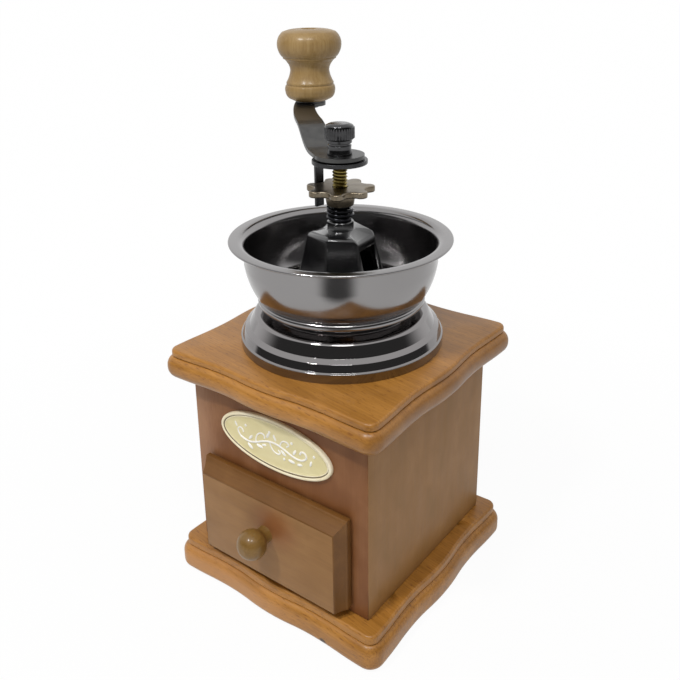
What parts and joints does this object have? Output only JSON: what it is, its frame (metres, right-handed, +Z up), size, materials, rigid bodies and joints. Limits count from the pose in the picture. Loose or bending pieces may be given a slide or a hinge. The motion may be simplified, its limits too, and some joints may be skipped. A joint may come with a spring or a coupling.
{
  "type": "manual coffee grinder",
  "caption": "Hand-cranked coffee grinder: wooden box with a drawer, metal bean bowl, faceted burr hub, adjusting nut and cranked handle with a turned wooden grip.",
  "frame": {"origin": "centre of the base board's underside", "axes": "+Z up along the shaft; the drawer opens towards -Y; +X is to the viewer's right when facing the drawer"},
  "size_m": [0.1277, 0.1368, 0.222],
  "materials": {
    "board_wood": "stained beech, satin lacquer",
    "case_wood": "stained beech, satin lacquer",
    "drawer_wood": "stained beech, satin lacquer",
    "bare_wood": "bare beech inside the case",
    "grip_wood": "pale beech, clear lacquer",
    "knob_wood": "olive-brown stained beech, lacquered",
    "plate_enamel": "cream enamelled plate with a raised border",
    "black_nickel": "pressed sheet, dark nickel plating, polished",
    "dark_steel": "steel, black nickel plating",
    "hub_black": "gloss black",
    "spring_steel": "blackened spring wire",
    "thread_brass": "turned, brass coloured",
    "burr_iron": "cast and ground",
    "bridge_iron": "cast",
    "zinc_steel": "zinc plated"
  },
  "bodies": {
    "housing": {"base_board": "board_wood", "top_board": "board_wood", "base_screws": "zinc_steel", "top_dowels": "bare_wood", "front_panel": "case_wood", "back_panel": "case_wood", "left_panel": "case_wood", "right_panel": "case_wood", "left_drawer_runner": "bare_wood", "right_drawer_runner": "bare_wood", "name_plate": "plate_enamel", "collar": "black_nickel", "hopper_bowl": "black_nickel", "housing_screws": "zinc_steel", "burr_hub": "hub_black", "coil_spring": "spring_steel", "bearing_bridge": "bridge_iron", "outer_burr": "burr_iron"},
    "adjuster": {"adjusting_nut": "dark_steel"},
    "spindle": {"shaft": "thread_brass", "inner_burr": "burr_iron", "burr_pin": "zinc_steel"},
    "handle": {"lock_plate": "dark_steel", "crank_washer": "dark_steel", "crank_arm": "dark_steel", "grip_axle": "zinc_steel", "grip_washer": "dark_steel"},
    "thumb_nut": {"thumb_nut": "dark_steel"},
    "grip": {"crank_grip": "grip_wood"},
    "drawer": {"drawer_front": "drawer_wood", "drawer_left_side": "bare_wood", "drawer_right_side": "bare_wood", "drawer_back": "bare_wood", "drawer_bottom": "bare_wood", "drawer_knob": "knob_wood", "drawer_knob_screw": "zinc_steel"}
  },
  "joints": [
    {"name": "crank_turn", "type": "hinge", "parent": "housing", "child": "adjuster", "pos_m": [0, 0, 0.163], "axis": [0, 0, 1], "continuous": true},
    {"name": "grind_adjust", "type": "slide", "parent": "adjuster", "child": "spindle", "axis": [0, 0, 1], "range_m": [-0.0005, 0.001]},
    {"name": "handle_lift", "type": "slide", "parent": "spindle", "child": "handle", "axis": [0, 0, 1], "range_m": [0, 0.012]},
    {"name": "thumb_nut_off", "type": "slide", "parent": "handle", "child": "thumb_nut", "axis": [0, 0, 1], "range_m": [0, 0.012]},
    {"name": "grip_spin", "type": "hinge", "parent": "handle", "child": "grip", "pos_m": [-0.06011, 0.05724, 0.205], "axis": [0, 0, 1], "continuous": true},
    {"name": "drawer_slide", "type": "slide", "parent": "housing", "child": "drawer", "axis": [0, -1, 0], "range_m": [0, 0.06]}
  ]
}
